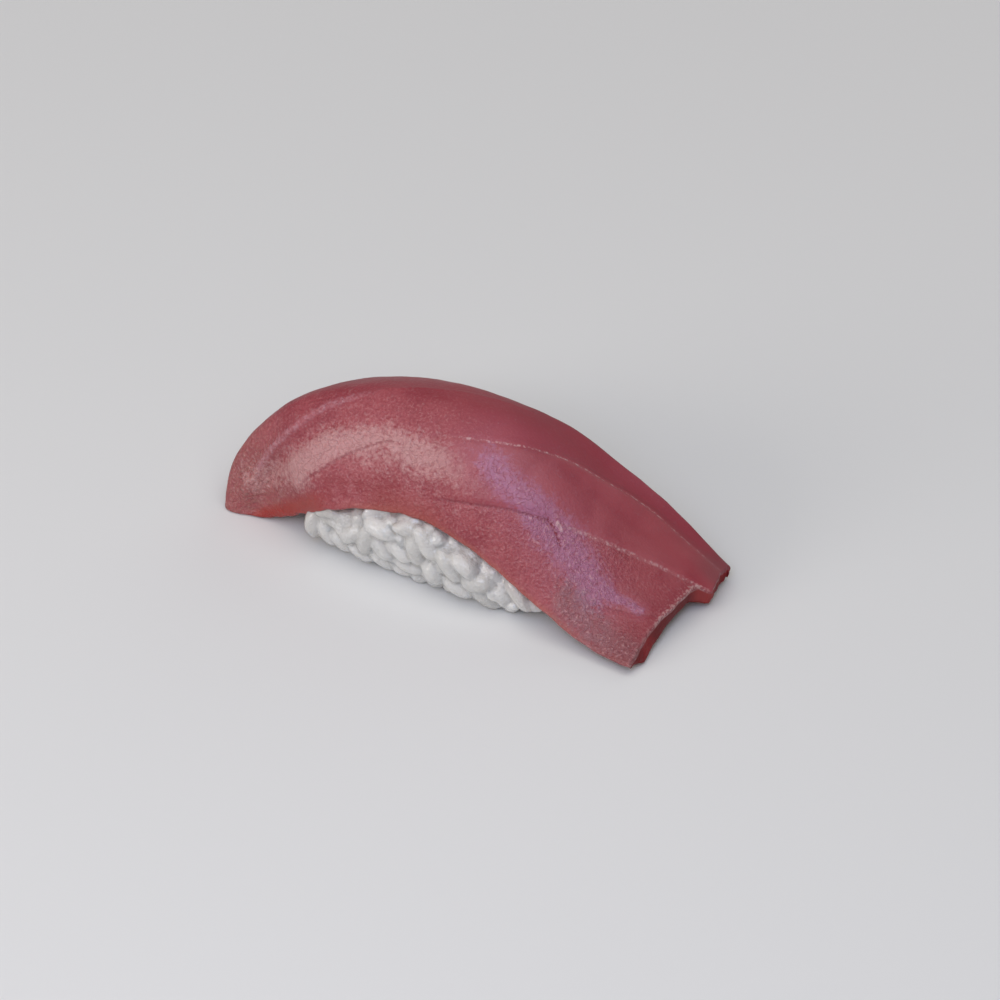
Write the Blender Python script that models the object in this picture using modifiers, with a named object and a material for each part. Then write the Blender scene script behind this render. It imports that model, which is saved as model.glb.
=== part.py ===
"""Tuna nigiri: one slice of raw tuna draped over a hand-pressed block of rice.

Metres, +Z up. The origin is the middle of the rice block's flat base. The slice's length runs
along X: its left end hangs down to the ground, its right end floats just above it.
"""
import math

import bmesh
import bpy
import numpy as np
from mathutils import Vector, noise
from mathutils.bvhtree import BVHTree

MM = 0.001
TOUCHING_GAP = 0.3 * MM

# The slice's ribs, left to right, in millimetres: share of the slice's length, then where the
# rib meets the front edge, the crest and the back edge.
RIBS = (
    (0.00, (-28.9, -7.7, 0.0), (-35.0, -6.3, 0.0), (-32.0, 11.2, 0.3)),
    (0.10, (-25.7, -8.1, 2.0), (-34.9, -5.3, 6.2), (-31.0, 11.7, 6.3)),
    (0.20, (-21.5, -9.1, 5.9), (-32.1, -4.3, 13.2), (-27.0, 11.9, 12.4)),
    (0.30, (-16.2, -11.5, 10.6), (-25.0, -2.8, 20.6), (-20.0, 11.9, 16.5)),
    (0.42, (-7.5, -10.7, 12.7), (-13.5, 0.2, 25.4), (-9.5, 11.7, 19.5)),
    (0.55, (2.0, -10.1, 12.8), (-0.5, 2.2, 26.9), (2.0, 11.5, 20.8)),
    (0.68, (12.0, -10.3, 9.0), (11.5, 3.7, 24.2), (13.0, 11.5, 19.7)),
    (0.80, (21.5, -11.5, 5.0), (22.5, 5.2, 16.2), (23.0, 12.2, 14.5)),
    (0.90, (29.8, -12.7, 2.0), (31.0, 6.2, 9.8), (31.5, 13.2, 8.6)),
    (1.00, (38.5, -13.7, 1.5), (38.7, 6.3, 4.2), (39.2, 14.2, 2.4)),
)
CREST_SHARE = 0.5          # of a rib's points, the share that lies in front of the crest

# How the ribs bend, each as pairs of share of length and value.
BACK_SLOPE = ((0.0, 1.5), (0.15, 2.2), (0.3, 1.7), (0.45, 0.9), (0.6, 0.4), (0.8, 0.0), (1.0, 0.0))
FRONT_REACH = ((0.0, 2.6), (0.1, 1.4), (0.2, 0.3), (0.5, -0.5), (1.0, -2.0))    # millimetres
FRONT_SQUARENESS = ((0.0, 4.0), (0.1, 2.8), (0.2, 2.2), (0.5, 1.9), (0.8, 1.6), (1.0, 1.5))
BACK_REACH = 0.95

# The slice is thick over the rice, and thin at its two long edges and at its right end.
SLICE_THICKNESS = 6.2 * MM
THICKNESS_ALONG = ((0.0, 0.8), (0.2, 0.9), (0.45, 1.0), (0.7, 1.0), (0.9, 0.75), (1.0, 0.45))
EDGE_THICKNESS_SHARE = 0.55
SLICE_CELLS = (36, 16, 1)
SLICE_SOFTENING_ROUNDS = 12
SLICE_EDGE_RADIUS = 0.45 * MM
SLICE_LOWEST_TAIL = 0.8 * MM

# The pressed block of rice: a rounded box, widest a third of the way up.
RICE_HALF_LENGTH = 22.9 * MM
RICE_HALF_WIDTH = 12.0 * MM
RICE_WIDEST_HEIGHT = 6.5 * MM
RICE_DEPTH_BELOW = 9.1 * MM
RICE_HEIGHT_ABOVE = 15.0 * MM
RICE_PLAN_SQUARENESS = 5.0
RICE_SIDE_SQUARENESS = 2.6
RICE_SUBDIVISIONS = 5
GRAIN_LENGTH = 6.8 * MM
GRAIN_WIDTH = 3.6 * MM
GRAIN_RELIEF = 1.9 * MM
LEDGE_SOFTENING_ROUNDS = 2

TUNA_COLOUR = (0.300, 0.066, 0.082, 1.0)
RICE_COLOUR = (0.640, 0.630, 0.580, 1.0)


def curve_through(shares, values, at):
    """The smooth curve that takes the given values at the given shares, read at other shares."""
    shares = np.asarray(shares, float)
    values = np.asarray(values, float)
    slopes = np.gradient(values, shares, axis=0)
    left = np.clip(np.searchsorted(shares, at, side="right") - 1, 0, len(shares) - 2)
    span = shares[left + 1] - shares[left]
    part = (at - shares[left]) / span
    if values.ndim == 2:
        span, part = span[:, None], part[:, None]
    start_weight = 2 * part**3 - 3 * part**2 + 1
    return (start_weight * values[left] + (1 - start_weight) * values[left + 1]
            + (part**3 - 2 * part**2 + part) * span * slopes[left]
            + (part**3 - part**2) * span * slopes[left + 1])


def profile(pairs, along):
    """A number that varies along the slice, shaped to multiply a grid of points."""
    shares, values = zip(*pairs)
    return curve_through(shares, values, along)[:, None, None]


def rib_points(column, along):
    """One guide line of the slice, front edge, crest or back edge, in metres."""
    shares = [rib[0] for rib in RIBS]
    points = [rib[column] for rib in RIBS]
    return curve_through(shares, points, along)[:, None] * MM


def quarter_arc(start, corner, end, turn, squareness):
    """Points of a quarter superellipse from start to end that bends inside the corner."""
    rising = np.sin(turn) ** (2 / squareness)
    falling = np.maximum(np.cos(turn), 0) ** (2 / squareness)
    return corner + (start - corner) * (1 - rising) + (end - corner) * (1 - falling)


def slice_top(along, across):
    """The slice's upper surface on a grid: shares of its length, and of its width from the front."""
    front, crest, back = (rib_points(column, along) for column in (1, 2, 3))
    drop = back - crest
    level = np.array((0.0, 1.0, 0.0)) + profile(BACK_SLOPE, along) * drop / np.linalg.norm(
        drop, axis=-1, keepdims=True)
    level /= np.linalg.norm(level, axis=-1, keepdims=True)
    front_reach = ((crest - front) * level).sum(-1, keepdims=True) + profile(FRONT_REACH, along) * MM
    back_reach = (drop * level).sum(-1, keepdims=True) * BACK_REACH
    front_turn = np.clip(across / CREST_SHARE, 0, 1)[None, :, None] * math.pi / 2
    back_turn = np.clip((across - CREST_SHARE) / (1 - CREST_SHARE), 0, 1)[None, :, None] * math.pi / 2
    front_half = quarter_arc(front, crest - level * front_reach, crest, front_turn,
                             profile(FRONT_SQUARENESS, along))
    back_half = quarter_arc(back, crest + level * back_reach, crest, math.pi / 2 - back_turn, 2)
    return np.where((across <= CREST_SHARE)[None, :, None], front_half, back_half)


def soft_normals(grid, rounds):
    """Outward directions over a grid of points, smoothed so that bends don't make them cross."""
    normals = np.cross(np.gradient(grid, axis=0), np.gradient(grid, axis=1))
    normals /= np.linalg.norm(normals, axis=-1, keepdims=True)
    for _ in range(rounds):
        for axis in (0, 1):
            padding = [(1, 1) if i == axis else (0, 0) for i in range(3)]
            padded = np.pad(normals, padding, mode="edge")
            before = np.take(padded, range(0, grid.shape[axis]), axis)
            after = np.take(padded, range(2, grid.shape[axis] + 2), axis)
            normals = (before + 2 * normals + after) / 4
    return normals / np.linalg.norm(normals, axis=-1, keepdims=True)


def slice_thickness(along, across):
    edge_closeness = np.abs(2 * across - 1) ** 3
    width_share = 1 - (1 - EDGE_THICKNESS_SHARE) * edge_closeness
    return SLICE_THICKNESS * profile(THICKNESS_ALONG, along) * width_share[None, :, None]


def cut_block(cells):
    """A unit cube cut into the given number of cells along X, Y and Z."""
    bm = bmesh.new()
    bmesh.ops.create_cube(bm, size=1.0)
    for axis, count in enumerate(cells):
        parallel = [edge for edge in bm.edges
                    if abs(edge.verts[0].co[axis] - edge.verts[1].co[axis]) > 0.5]
        if count > 1:
            bmesh.ops.subdivide_edges(bm, edges=parallel, cuts=count - 1, use_grid_fill=True)
    return bm


def add_object(name, bm, collection, material):
    mesh = bpy.data.meshes.new(name)
    bmesh.ops.recalc_face_normals(bm, faces=bm.faces[:])
    bm.to_mesh(mesh)
    bm.free()
    mesh.shade_smooth()
    mesh.materials.append(material)
    obj = bpy.data.objects.new(name, mesh)
    collection.objects.link(obj)
    return obj


def flesh_material():
    """Raw lean tuna: moist, a muted wine red."""
    material = bpy.data.materials.new("tuna_flesh")
    material.use_nodes = True
    shader = material.node_tree.nodes["Principled BSDF"]
    shader.inputs["Base Color"].default_value = TUNA_COLOUR
    shader.inputs["Roughness"].default_value = 0.38
    shader.inputs["Metallic"].default_value = 0.0
    return material


def rice_material():
    """Cooked short-grain rice: glossy, slightly warm white."""
    material = bpy.data.materials.new("cooked_rice")
    material.use_nodes = True
    shader = material.node_tree.nodes["Principled BSDF"]
    shader.inputs["Base Color"].default_value = RICE_COLOUR
    shader.inputs["Roughness"].default_value = 0.3
    shader.inputs["Metallic"].default_value = 0.0
    return material


def make_slice(collection):
    """A flat slab, cut into cells and then draped: its cells' shares give each corner's place."""
    lengthwise, crosswise, deep = SLICE_CELLS
    along = np.linspace(0, 1, lengthwise + 1)
    across = np.linspace(0, 1, crosswise + 1)
    top = slice_top(along, across)
    inward = -soft_normals(top, SLICE_SOFTENING_ROUNDS) * slice_thickness(along, across)
    bm = cut_block(SLICE_CELLS)
    for vert in bm.verts:
        i = round((vert.co.x + 0.5) * lengthwise)
        j = round((vert.co.y + 0.5) * crosswise)
        depth = round((0.5 - vert.co.z) * deep) / deep
        place = top[i, j] + inward[i, j] * depth
        floor = SLICE_LOWEST_TAIL if place[0] > 0 else 0.0
        vert.co = (place[0], place[1], max(place[2], floor))
    flesh = add_object("tuna_slice", bm, collection, flesh_material())
    rounding = flesh.modifiers.new("cut_edges", "BEVEL")
    rounding.width = SLICE_EDGE_RADIUS
    rounding.segments = 1
    rounding.limit_method = "ANGLE"
    rounding.angle_limit = math.radians(50)
    return flesh


def block_radius(direction):
    """How far the plain pressed block reaches from its middle in one direction."""
    plan = (abs(direction.x / RICE_HALF_LENGTH) ** RICE_PLAN_SQUARENESS
            + abs(direction.y / RICE_HALF_WIDTH) ** RICE_PLAN_SQUARENESS)
    half_height = RICE_HEIGHT_ABOVE if direction.z > 0 else RICE_DEPTH_BELOW
    side = (plan ** (RICE_SIDE_SQUARENESS / RICE_PLAN_SQUARENESS)
            + abs(direction.z / half_height) ** RICE_SIDE_SQUARENESS)
    return side ** (-1 / RICE_SIDE_SQUARENESS)


def grain_bump(place):
    """Height of the pressed grains' relief: round lumps, longer along X than across."""
    cell = Vector((place.x / GRAIN_LENGTH, place.y / GRAIN_WIDTH, place.z / GRAIN_WIDTH))
    nearest = noise.voronoi(cell)[0][0]
    return GRAIN_RELIEF * (0.45 - min(nearest, 0.9))


def room_under(cover, middle, direction):
    """How far the rice may reach from its middle before it meets the slice."""
    hit, normal, _, distance = cover.ray_cast(middle, direction)
    if hit is None:
        return math.inf
    return distance - TOUCHING_GAP / max(abs(direction.dot(normal)), 0.3)


def rice_radius(middle, direction):
    """How far the lumpy block reaches in one direction, with nothing above it."""
    radius = block_radius(direction)
    return radius + grain_bump(middle + direction * radius)


def make_rice(collection, flesh):
    """A ball pushed out to the block's shape, with the slice above and the ground below as limits."""
    middle = Vector((0, 0, RICE_WIDEST_HEIGHT))
    cover = BVHTree.FromObject(flesh, bpy.context.evaluated_depsgraph_get())
    bm = bmesh.new()
    bmesh.ops.create_icosphere(bm, subdivisions=RICE_SUBDIVISIONS, radius=1.0)
    directions = [vert.co.normalized() for vert in bm.verts]
    around = [[edge.other_vert(vert).index for edge in vert.link_edges] for vert in bm.verts]
    room = [room_under(cover, middle, direction) for direction in directions]
    reach = [min(rice_radius(middle, direction), room[i], *(room[j] for j in around[i]))
             for i, direction in enumerate(directions)]
    for _ in range(LEDGE_SOFTENING_ROUNDS):
        reach = [min(own, (own + sum(reach[j] for j in around[i]) / len(around[i])) / 2)
                 for i, own in enumerate(reach)]
    for vert, direction, radius in zip(bm.verts, directions, reach):
        if direction.z < 0:
            radius = min(radius, RICE_WIDEST_HEIGHT / -direction.z)
        vert.co = middle + direction * radius
    return add_object("rice_block", bm, collection, rice_material())


for old in list(bpy.data.objects):
    bpy.data.objects.remove(old)
nigiri = bpy.data.collections.new("tuna_nigiri")
bpy.context.scene.collection.children.link(nigiri)
tuna = make_slice(nigiri)
bpy.context.view_layer.update()
make_rice(nigiri, tuna)
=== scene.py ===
"""Tuna nigiri: a slice of raw lean tuna laid over a pressed heap of cooked rice. Metres, +Z up."""

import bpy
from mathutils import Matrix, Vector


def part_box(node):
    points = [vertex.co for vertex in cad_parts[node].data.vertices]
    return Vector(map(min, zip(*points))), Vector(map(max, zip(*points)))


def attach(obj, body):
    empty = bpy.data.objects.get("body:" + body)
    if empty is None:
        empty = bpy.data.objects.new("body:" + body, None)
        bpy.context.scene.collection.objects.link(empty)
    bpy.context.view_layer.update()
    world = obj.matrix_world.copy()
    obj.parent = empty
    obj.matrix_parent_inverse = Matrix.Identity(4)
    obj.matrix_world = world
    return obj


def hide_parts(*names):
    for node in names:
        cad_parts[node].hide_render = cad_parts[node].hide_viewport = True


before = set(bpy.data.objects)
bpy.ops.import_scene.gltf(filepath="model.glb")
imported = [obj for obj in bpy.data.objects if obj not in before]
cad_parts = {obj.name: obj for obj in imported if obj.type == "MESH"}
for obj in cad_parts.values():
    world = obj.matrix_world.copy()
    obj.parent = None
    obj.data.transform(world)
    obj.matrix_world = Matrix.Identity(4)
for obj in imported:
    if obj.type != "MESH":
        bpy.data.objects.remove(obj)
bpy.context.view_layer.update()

import math

import bmesh
import bpy
import numpy as np
from mathutils import Vector, noise
from mathutils.bvhtree import BVHTree
from mathutils.kdtree import KDTree

MM = 0.001


# ---------------------------------------------------------------- rice core
# The middle of the heap: grains that the hand has pressed together until nothing shows between
# them. It is a lumpy block that lies a little inside the outer layer of grains.

CORE_INSET = 1.75 * MM
CORE_ROUNDS = 5
CORE_LUMP = 0.5 * MM
CORE_LUMP_SIZE = 3.0 * MM
CORE_FLOOR = 0.4 * MM  # the core stays this far over the ground
CORE_TONE = 0.2  # it is a little darker than most grains
HEAP_MIDDLE_HEIGHT = 6.5 * MM

rice_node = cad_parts["rice_block"]
slice_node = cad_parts["tuna_slice"]
heap_low, heap_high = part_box("rice_block")
heap_middle = Vector(((heap_low.x + heap_high.x) / 2, (heap_low.y + heap_high.y) / 2,
                      HEAP_MIDDLE_HEIGHT))


def surface_of(node):
    """A solid's skin, for nearest points and rays."""
    return BVHTree.FromPolygons([vert.co for vert in node.data.vertices],
                                [polygon.vertices for polygon in node.data.polygons])


heap = surface_of(rice_node)


class Finish:
    """A socket of a material, so that shader sums are written as plain sums."""

    def __init__(self, tree, socket=None):
        self.tree, self.socket = tree, socket

    def feed(self, node, values):
        """Gives a node's sockets their plain values or links; a tint is three numbers."""
        for name, value in values.items():
            socket = node.inputs[name]
            if isinstance(value, Finish):
                self.tree.links.new(value.socket, socket)
            else:
                socket.default_value = (*value, 1) if socket.type == "RGBA" else value

    def node(self, kind, settings=None, values=None, output=0):
        """Adds a node: its settings first, then the values or links of its sockets."""
        made = self.tree.nodes.new(kind)
        for name, value in (settings or {}).items():
            setattr(made, name, value)
        self.feed(made, values or {})
        return Finish(self.tree, made.outputs[output])

    def sum_of(self, operation, *values):
        return self.node("ShaderNodeMath", {"operation": operation}, dict(enumerate(values)))

    def __add__(self, other):
        return self.sum_of("ADD", self, other)

    def __radd__(self, other):
        return self.sum_of("ADD", other, self)

    def __sub__(self, other):
        return self.sum_of("SUBTRACT", self, other)

    def __rsub__(self, other):
        return self.sum_of("SUBTRACT", other, self)

    def __mul__(self, other):
        return self.sum_of("MULTIPLY", self, other)

    def __rmul__(self, other):
        return self.sum_of("MULTIPLY", other, self)

    def __abs__(self):
        return self.sum_of("ABSOLUTE", self)

    def rise(self, low, high):
        """0 up to low and 1 from high, with a soft step between; low may be above high."""
        return self.node("ShaderNodeMapRange", {"interpolation_type": "SMOOTHSTEP"},
                         {"Value": self, "From Min": low, "From Max": high})

    def attribute(self, name, output="Fac"):
        return self.node("ShaderNodeAttribute", {"attribute_name": name}, output=output)

    def stretched(self, scale):
        return self.node("ShaderNodeVectorMath", {"operation": "MULTIPLY"}, {0: self, 1: scale})

    def place(self):
        """Where a point of the piece lies, in millimetres."""
        return self.node("ShaderNodeTexCoord", output="Object").stretched((1000, 1000, 1000))

    def speckle(self, size, detail=2.0, roughness=0.5):
        """Soft noise over a place, with lumps of the given size in the place's own unit."""
        return self.node("ShaderNodeTexNoise", {}, {"Vector": self, "Scale": 1 / size,
                                                    "Detail": detail, "Roughness": roughness})

    def blend(self, colour, *coats):
        """A colour under coats, each a tint and the share of the surface that it covers."""
        for tint, share in coats:
            colour = self.node("ShaderNodeMix", {"data_type": "RGBA"},
                               {0: share, 6: colour, 7: tint}, output=2)
        return colour

    def bump(self, depth, height):
        return self.node("ShaderNodeBump", {}, {"Strength": 1.0, "Distance": depth, "Height": height})


def new_finish(name):
    """A fresh material, its Principled shader and the start for its sums."""
    material = bpy.data.materials.new(name)
    material.use_nodes = True
    shader = material.node_tree.nodes["Principled BSDF"]
    return material, shader, Finish(material.node_tree)


def new_piece(name, mesh, material):
    """A smooth object of a mesh, put into the scene."""
    mesh.shade_smooth()
    mesh.materials.append(material)
    piece = bpy.data.objects.new(name, mesh)
    bpy.context.scene.collection.objects.link(piece)
    return piece


def mark(piece, name, values):
    """Stores a number, or a vector, for each point of a piece's mesh."""
    values = np.asarray(values, float)
    kind, field = ("FLOAT_VECTOR", "vector") if values.ndim == 2 else ("FLOAT", "value")
    layer = piece.data.attributes.new(name, kind, "POINT")
    layer.data.foreach_set(field, values.ravel())


def rice_finish():
    """Cooked short-grain rice: a moist warm white, in places clear and greyish, with a soft shine;
    painted shade greys the creases between grains and a painted pink reflection lies next to the slice.
    """
    material, shader, start = new_finish("cooked_rice")
    tone, reach = start.attribute("tone"), start.attribute("reach")
    place = start.place()
    clouds = place.speckle(2.2)
    frost = place.speckle(0.32, 2.0, 0.6)
    glassy = (clouds + 0.35 * reach + 0.25 * tone).rise(0.85, 1.15)
    start.feed(shader, {
        "Base Color": start.blend((0.50, 0.49, 0.465), ((0.70, 0.69, 0.67), tone * 0.85 + frost * 0.2),
                                  ((0.40, 0.415, 0.42), glassy * 0.7),
                                  # painted shade: greyer and darker deep in the creases between grains
                                  ((0.36, 0.335, 0.31), start.attribute("crease") * 0.6),
                                  # painted reflection of the slice's red, pink on the rice next to it
                                  ((0.58, 0.45, 0.42), start.attribute("by_slice") * 0.45)),
        "Roughness": 0.10 + 0.22 * clouds,
        "Normal": start.bump(0.14 * MM, 1.5 * frost + 1.2 * place.speckle(0.9)),
        "Subsurface Weight": 0.85, "Subsurface Radius": (1.0, 0.92, 0.84), "Subsurface Scale": 1.5 * MM,
        "IOR": 1.4, "Coat Weight": 0.7, "Coat Roughness": 0.12})
    return material


def make_core(material):
    """A ball pushed out to the heap's shape, less the layer of loose grains."""
    bm = bmesh.new()
    bmesh.ops.create_icosphere(bm, subdivisions=CORE_ROUNDS, radius=1.0)
    for vert in bm.verts:
        direction = vert.co.normalized()
        _, _, _, reach = heap.ray_cast(heap_middle, direction)
        lump = CORE_LUMP * noise.noise(heap_middle + direction * reach / CORE_LUMP_SIZE)
        vert.co = heap_middle + direction * (reach - CORE_INSET + lump)
        vert.co.z = max(vert.co.z, CORE_FLOOR)
    mesh = bpy.data.meshes.new("rice_core")
    bm.to_mesh(mesh)
    bm.free()
    core = new_piece("rice_core", mesh, material)
    mark(core, "tone", np.full(len(mesh.vertices), CORE_TONE))
    return core


rice_white = rice_finish()
rice_core = make_core(rice_white)
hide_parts("rice_block")
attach(rice_core, "root")


# -------------------------------------------------------------- rice grains
# Cooked short-grain rice: plump grains, blunt at one end and nicked at the other where the germ
# was, stuck together at every angle. Low on the heap many hang down like fingers, higher up more
# lie along it.

GRAINS = 400  # spread over the whole heap, before those that the slice hides are left out
INNER_GRAIN_SHARE = 0.3  # of the grains, those that fill in behind the outer ones
INNER_GRAIN_DEPTH = 1.7 * MM
GRAIN_HALF_LENGTH = 3.05 * MM
GRAIN_HALF_WIDTH = 1.55 * MM
GRAIN_HALF_DEPTH = 1.42 * MM
GRAIN_LENGTHS, GRAIN_WIDTHS = (0.82, 1.12), (0.88, 1.1)  # shares of the usual ones
GRAIN_BENDS = (-0.1, 0.22)  # of its width, how far a grain's ends turn down
GRAIN_SPIN = 0.6  # radians that a grain may be rolled either way
GRAIN_LUMP, GRAIN_LUMP_COUNT = 0.09, 1.3
GRAIN_RINGS = 12
GRAIN_SIDES = 18
BEAD_PLACES = (-0.56, 0.0, 0.56)  # shares of a grain's half length
BEAD_SIZES = (0.86, 1.0, 0.88)  # shares of its half width
NICK_PLACE = (-0.82, 0.5)  # along and up, in half lengths and half widths
NICK_SIZE = (0.2, 0.45)
NICK_DEPTH = 0.3
PLACES_TRIED = 14  # for each grain, before the ones that lie most evenly are kept
OPEN_SLOPE = 0.75  # no grains where the skin faces up or down more than this
OPEN_FROM = 8 * MM  # and lies nearer than this to the middle line
SETTLING_ROUNDS = 96
PAIRING_ROUNDS = 8  # rounds between two searches for neighbours
PAIRING_REACH = 1.3  # neighbours lie within this times their touching distance squared
SQUEEZE = 0.86  # how near two beads come, as a share of their sizes
SHOVE = 0.25  # of an overlap, the share that a bead gives way by
SKIN_DEPTH = 0.96  # of its size, how deep a bead's middle lies under the skin
PULL_IN, PULL_OUT = 0.9, 0.2  # of what is missing, the shares that are made up each round
TURNING = 0.5  # of a push beside its middle, the share that turns a grain
STARCH_CELL = 0.25 * MM  # the starch film between grains is this fine
STARCH_ROUNDS = 3
FILLING_RISE = 0.2 * MM  # the starch fills the gaps up to this far over the core
CREASE_ROUNDS = 6
CREASE_DEPTH = 0.12 * MM
LEDGE_STEP = 2.7 * MM  # from one grain to the next along the slice's two edges
# Each row of them: start, then how far in and down from the slice's rim.
LEDGE_ROWS = ((0.0, 1.5 * MM, 0.8 * MM), (LEDGE_STEP / 2, 2.3 * MM, 2.6 * MM))
LEFT_LEDGE_DROP = 1.2 * MM  # more at the left, where the slice's edge hangs lower
LEFT_LEDGE = (2, 10)  # millimetres left of the middle where that starts, and that it grows over
LEDGE_SEARCH = 10  # points of the slice's rim that are compared at each step
LEDGE_TUCK = 1.0 * MM  # a grain's end stays this far under the rim
LEDGE_GAP = 2.4 * MM  # a grain further than this from the heap is left out
LEDGE_START = 4.3 * MM  # the rows start this far in from the heap's left end
LEDGE_HANGING_SHARE = 0.35
LEDGE_SPREAD, LEDGE_HANGING_SPREAD = 0.35, 0.2  # how unevenly the ledge grains lie and hang
LEDGE_OUTSIDE = 2.5 * MM  # grains are lowered from this far inside the rim outward,
LEDGE_LOWERING = 4 * MM  # by this much at most
RIM_STEP = 0.8 * MM
RIM_WINDOW = 1.5 * MM  # the rim's points this near to a step are compared
FINGER_HEIGHT = 8.5 * MM  # below this most grains hang down like fingers
FINGER_SHARE_LOW, FINGER_SHARE_HIGH = 0.62, 0.2
FINGER_SPREAD, LENGTHWISE_SPREAD = 0.35, 0.55  # how unevenly the hanging and the lying ones point
SLICE_REFLECTION_REACH = 1.2 * MM  # how far from the slice the painted pink reflection of its red reaches over the rice

dice = np.random.default_rng(7)


def mesh_of(name, places, faces):
    """A mesh from points in metres and rows of point numbers."""
    mesh = bpy.data.meshes.new(name)
    mesh.from_pydata([tuple(place) for place in places], [], faces)
    return mesh


def heap_seeds(count):
    """Places spread evenly over the heap's skin, with the skin's direction at each."""
    corners = np.array([[rice_node.data.vertices[i].co[:] for i in polygon.vertices[:3]]
                        for polygon in rice_node.data.polygons])
    sides = np.cross(corners[:, 1] - corners[:, 0], corners[:, 2] - corners[:, 0])
    areas = np.linalg.norm(sides, axis=1)
    picked = dice.choice(len(corners), size=count * PLACES_TRIED, p=areas / areas.sum())
    weights = dice.dirichlet((1, 1, 1), size=len(picked))
    places = (corners[picked] * weights[:, :, None]).sum(1)
    outward = sides[picked] / areas[picked, None]
    kept = [0]
    gap = np.linalg.norm(places - places[0], axis=1)
    while len(kept) < count:
        kept.append(int(gap.argmax()))
        gap = np.minimum(gap, np.linalg.norm(places - places[kept[-1]], axis=1))
    return places[kept], outward[kept]


def unit(vectors):
    return vectors / np.maximum(np.linalg.norm(vectors, axis=-1, keepdims=True), 1e-9)


def grain_lie(places, outward):
    """Which way each grain points: down the side low on the heap, along it higher up."""
    lengthwise = np.array((1.0, 0.0, 0.0)) + dice.normal(0, LENGTHWISE_SPREAD, places.shape)
    downwards = np.array((0.25, 0.0, -1.0)) + dice.normal(0, FINGER_SPREAD, places.shape)
    finger = dice.random(len(places)) < np.where(places[:, 2] < FINGER_HEIGHT,
                                                 FINGER_SHARE_LOW, FINGER_SHARE_HIGH)
    finger &= np.abs(outward[:, 2]) < 0.8
    lie = np.where(finger[:, None], downwards, lengthwise)
    lie -= outward * (lie * outward).sum(1, keepdims=True) * dice.uniform(0.6, 1.0, (len(lie), 1))
    return unit(lie)


def bead_pairs(beads, owners, sizes):
    """Beads of different grains that lie near enough to meet, as two rows of numbers."""
    squares = (beads**2).sum(1)
    gaps = squares[:, None] + squares[None] - 2 * beads @ beads.T
    near = gaps < (sizes[:, None] + sizes[None]) ** 2 * PAIRING_REACH
    near &= owners[:, None] < owners[None]
    return np.nonzero(near)


def settle(middles, lies, widths, lengths, depths):
    """Lets the grains push each other apart and back to their depths under the heap's skin."""
    owners = np.repeat(np.arange(len(middles)), len(BEAD_PLACES))
    reaches = (np.array(BEAD_PLACES)[None] * lengths[:, None]).ravel()
    sizes = (np.array(BEAD_SIZES)[None] * widths[:, None]).ravel()
    for number in range(SETTLING_ROUNDS):
        beads = middles[owners] + lies[owners] * reaches[:, None]
        if number % PAIRING_ROUNDS == 0:
            first, second = bead_pairs(beads, owners, sizes)
        between = beads[first] - beads[second]
        gap = np.linalg.norm(between, axis=1, keepdims=True) + 1e-9
        overlap = ((sizes[first] + sizes[second])[:, None] * SQUEEZE - gap).clip(0)
        shove = between / gap * overlap * SHOVE
        push = np.zeros_like(beads)
        np.add.at(push, first, shove)
        np.add.at(push, second, -shove)
        for i, bead in enumerate(beads):
            skin, outward, _, _ = heap.find_nearest(Vector(bead))
            depth = (skin - Vector(bead)).dot(outward)
            want = sizes[i] * SKIN_DEPTH + depths[owners[i]]
            pull = (depth - want) * (PULL_IN if depth < want else PULL_OUT)
            push[i] += np.array(outward) * pull
        shift = np.zeros_like(middles)
        np.add.at(shift, owners, push / len(BEAD_PLACES))
        turn = np.zeros_like(middles)
        np.add.at(turn, owners, push * reaches[:, None] / lengths[owners, None] ** 2)
        middles = middles + shift
        lies = unit(lies + turn * TURNING)
    return middles, lies


def grain_shape():
    """Points of one grain, with its length and width as units: rings from the nick to the far end."""
    turns = np.arange(GRAIN_SIDES) * 2 * math.pi / GRAIN_SIDES
    steps = -np.cos(math.pi * (np.arange(GRAIN_RINGS) + 0.75) / (GRAIN_RINGS + 0.5))
    waist = (1 - np.abs(steps) ** 2.5) ** 0.5
    waist *= 1 + 0.06 * steps
    ring = np.stack([np.broadcast_to(steps[:, None], (GRAIN_RINGS, GRAIN_SIDES)),
                     waist[:, None] * np.cos(turns), waist[:, None] * np.sin(turns)], axis=2)
    from_nick = (ring[..., ::2] - NICK_PLACE) / NICK_SIZE
    ring[..., 2] -= NICK_DEPTH * np.exp(-(from_nick**2).sum(-1))
    points = np.concatenate([[(-1.0, 0, -0.1)], ring.reshape(-1, 3), [(1.0, 0, 0)]])
    faces = []
    last = len(points) - 1
    for side in range(GRAIN_SIDES):
        after = (side + 1) % GRAIN_SIDES
        faces.append((0, 1 + after, 1 + side))
        for row in range(GRAIN_RINGS - 1):
            low = 1 + row * GRAIN_SIDES
            faces.append((low + side, low + after, low + GRAIN_SIDES + after,
                          low + GRAIN_SIDES + side))
        low = 1 + (GRAIN_RINGS - 1) * GRAIN_SIDES
        faces.append((low + side, low + after, last))
    return points, faces


def rim_under(side):
    """The lower line of one long edge of the slice, above or beside the heap."""
    rim = np.array([vert.co[:] for vert in slice_node.data.vertices])
    line = []
    for stop in np.arange(heap_low.x - 3 * MM, heap_high.x + 3 * MM, RIM_STEP):
        near = rim[np.abs(rim[:, 0] - stop) < RIM_WINDOW]
        near = near[(-side * near[:, 1]).argsort()[:LEDGE_SEARCH]]
        line.append((stop, *near[near[:, 2].argmin(), 1:]))
    return np.array(line)


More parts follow.
